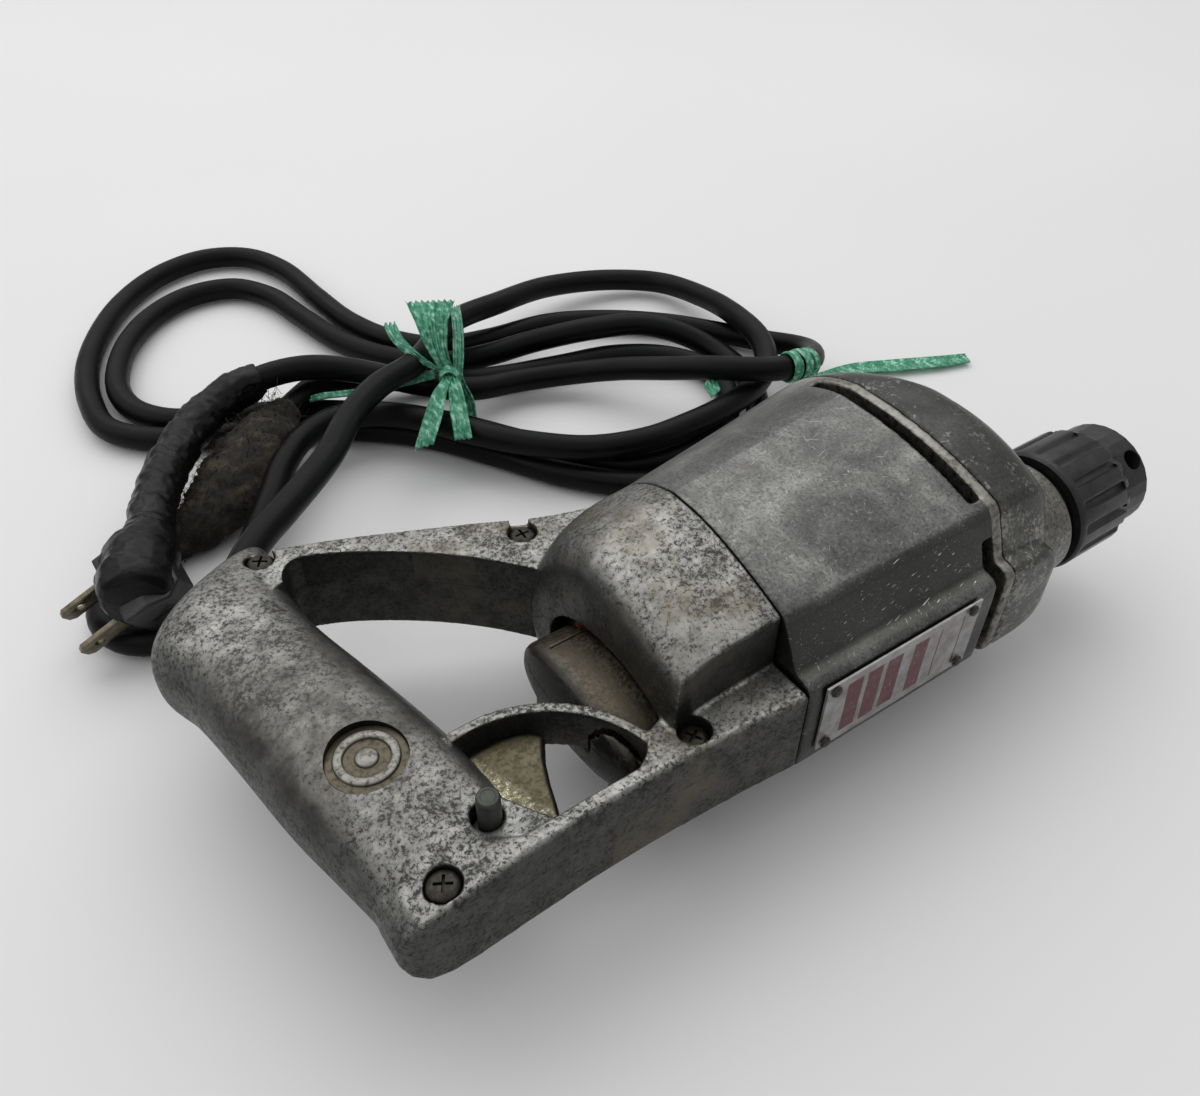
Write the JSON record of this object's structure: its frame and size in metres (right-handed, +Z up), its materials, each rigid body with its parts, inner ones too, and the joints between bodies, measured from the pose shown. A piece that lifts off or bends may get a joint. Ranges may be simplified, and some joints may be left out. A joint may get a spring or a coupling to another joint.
{
  "type": "electric drill",
  "caption": "Corded pistol-less hand drill with a closed D handle, trigger, lock pin, geared spindle, keyed three-jaw chuck and a tied mains cord with plug",
  "frame": {"origin": "centre of the drill's own bounding box, on the table it lies on (its cord left out)", "axes": "+X runs along the spindle towards the chuck, +Z is up from the table with the drill on its side, +Y is the drill's underside, -Y its nameplate side"},
  "size_m": [0.3451, 0.3788, 0.073],
  "materials": {
    "cast_aluminium": "worn speckled sand-cast aluminium",
    "housing_aluminium": "smoother grey cast aluminium",
    "screw_steel": "aged cross-recess screw heads",
    "plain_steel": "plain machined steel",
    "plate_aluminium": "printed sheet with crimson bands, left blank of words",
    "winding_copper": "lacquered copper wire",
    "bush_bronze": "sintered bronze",
    "carbon": "pressed carbon",
    "resin": "brown moulded resin",
    "black_steel": "black oxide on steel",
    "trigger_steel": "yellow-plated sheet, worn bright on its edge",
    "lock_steel": "dark plated pin",
    "black_rubber": "smooth black rubber",
    "vinyl_tape": "shiny creased black tape",
    "friction_cloth": "dusty brown cloth tape",
    "mint_film": "thin mint-green film"
  },
  "bodies": {
    "housing": {"handle_frame": "cast_aluminium", "handle_cover": "cast_aluminium", "handle_screw_1": "screw_steel", "handle_screw_2": "screw_steel", "handle_screw_3": "screw_steel", "handle_screw_4": "screw_steel", "motor_housing": "housing_aluminium", "bearing_plate": "cast_aluminium", "gear_case": "housing_aluminium", "case_screw_1": "screw_steel", "case_screw_2": "screw_steel", "nameplate": "plate_aluminium", "plate_rivet_1": "screw_steel", "plate_rivet_2": "screw_steel", "plate_rivet_3": "screw_steel", "plate_rivet_4": "screw_steel", "field_core": "plain_steel", "field_coil_1": "winding_copper", "field_coil_2": "winding_copper", "front_bearing": "plain_steel", "rear_bearing": "plain_steel", "brush_holder_1": "resin", "brush_holder_2": "resin", "carbon_brush_1": "carbon", "carbon_brush_2": "carbon", "idler_pin": "plain_steel", "spindle_bush": "bush_bronze", "spindle_bearing": "plain_steel", "trigger_pin": "plain_steel", "trigger_spring": "plain_steel", "switch_body": "resin", "lock_spring": "plain_steel", "cord_grommet": "black_rubber", "cord_lead": "black_rubber", "cord_hank": "black_rubber", "cord_tail": "black_rubber", "splice_tape": "vinyl_tape", "friction_wrap": "friction_cloth", "plug_body": "black_rubber", "plug_blade_1": "plain_steel", "plug_blade_2": "plain_steel", "tie_1": "mint_film", "tie_2": "mint_film"},
    "armature": {"armature_shaft": "plain_steel", "armature_core": "plain_steel", "armature_winding": "winding_copper", "commutator": "winding_copper", "fan": "cast_aluminium"},
    "idler": {"idler_gear": "plain_steel"},
    "spindle_unit": {"spindle": "plain_steel", "spindle_gear": "plain_steel", "chuck_body": "black_steel"},
    "sleeve": {"chuck_sleeve": "black_steel"},
    "jaw_1": {"chuck_jaw_1": "plain_steel"},
    "jaw_2": {"chuck_jaw_2": "plain_steel"},
    "jaw_3": {"chuck_jaw_3": "plain_steel"},
    "trigger_body": {"trigger": "trigger_steel"},
    "plunger": {"switch_plunger": "resin"},
    "lock": {"lock_pin": "lock_steel"}
  },
  "joints": [
    {"name": "armature_spin", "type": "hinge", "parent": "housing", "child": "armature", "pos_m": [0.00615, -0.01755, 0.0365], "axis": [1, 0, 0], "continuous": true},
    {"name": "idler_spin", "type": "hinge", "parent": "housing", "child": "idler", "pos_m": [0.06815, -0.02419, 0.02075], "axis": [1, 0, 0], "continuous": true},
    {"name": "spindle_spin", "type": "hinge", "parent": "housing", "child": "spindle_unit", "pos_m": [0.08115, -0.03954, 0.0365], "axis": [1, 0, 0], "continuous": true},
    {"name": "chuck_turn", "type": "hinge", "parent": "spindle_unit", "child": "sleeve", "pos_m": [0.10815, -0.03954, 0.0365], "axis": [1, 0, 0], "range_deg": [-1080, 1692]},
    {"name": "jaw_slide_1", "type": "slide", "parent": "spindle_unit", "child": "jaw_1", "axis": [0.9511, -0.1207, -0.2845], "range_m": [-0.006, 0.0094]},
    {"name": "jaw_slide_2", "type": "slide", "parent": "spindle_unit", "child": "jaw_2", "axis": [0.9511, 0.3067, 0.0377], "range_m": [-0.006, 0.0094]},
    {"name": "jaw_slide_3", "type": "slide", "parent": "spindle_unit", "child": "jaw_3", "axis": [0.9511, -0.186, 0.2468], "range_m": [-0.006, 0.0094]},
    {"name": "trigger_pull", "type": "hinge", "parent": "housing", "child": "trigger_body", "pos_m": [-0.08015, -0.05314, 0.0365], "axis": [0, 0, 1], "range_deg": [0, 11], "stiffness_Nm_per_rad": 0.35, "springref_deg": -14.32},
    {"name": "plunger_slide", "type": "slide", "parent": "housing", "child": "plunger", "axis": [-1, 0, 0], "range_m": [0, 0.0042]},
    {"name": "lock_press", "type": "slide", "parent": "housing", "child": "lock", "axis": [0, 0, -1], "range_m": [0, 0.0024], "stiffness_N_per_m": 300, "springref_m": -0.002, "deforming": ["lock_spring"]}
  ],
  "couplings": [
    {"joint": "idler_spin", "follows": "armature_spin", "ratio": -0.30769},
    {"joint": "spindle_spin", "follows": "armature_spin", "ratio": 0.10256},
    {"joint": "plunger_slide", "follows": "trigger_pull", "m_per_rad": 0.02},
    {"joint": "jaw_slide_1", "follows": "chuck_turn", "m_per_rad": 0.00031815},
    {"joint": "jaw_slide_2", "follows": "chuck_turn", "m_per_rad": 0.00031815},
    {"joint": "jaw_slide_3", "follows": "chuck_turn", "m_per_rad": 0.00031815}
  ]
}
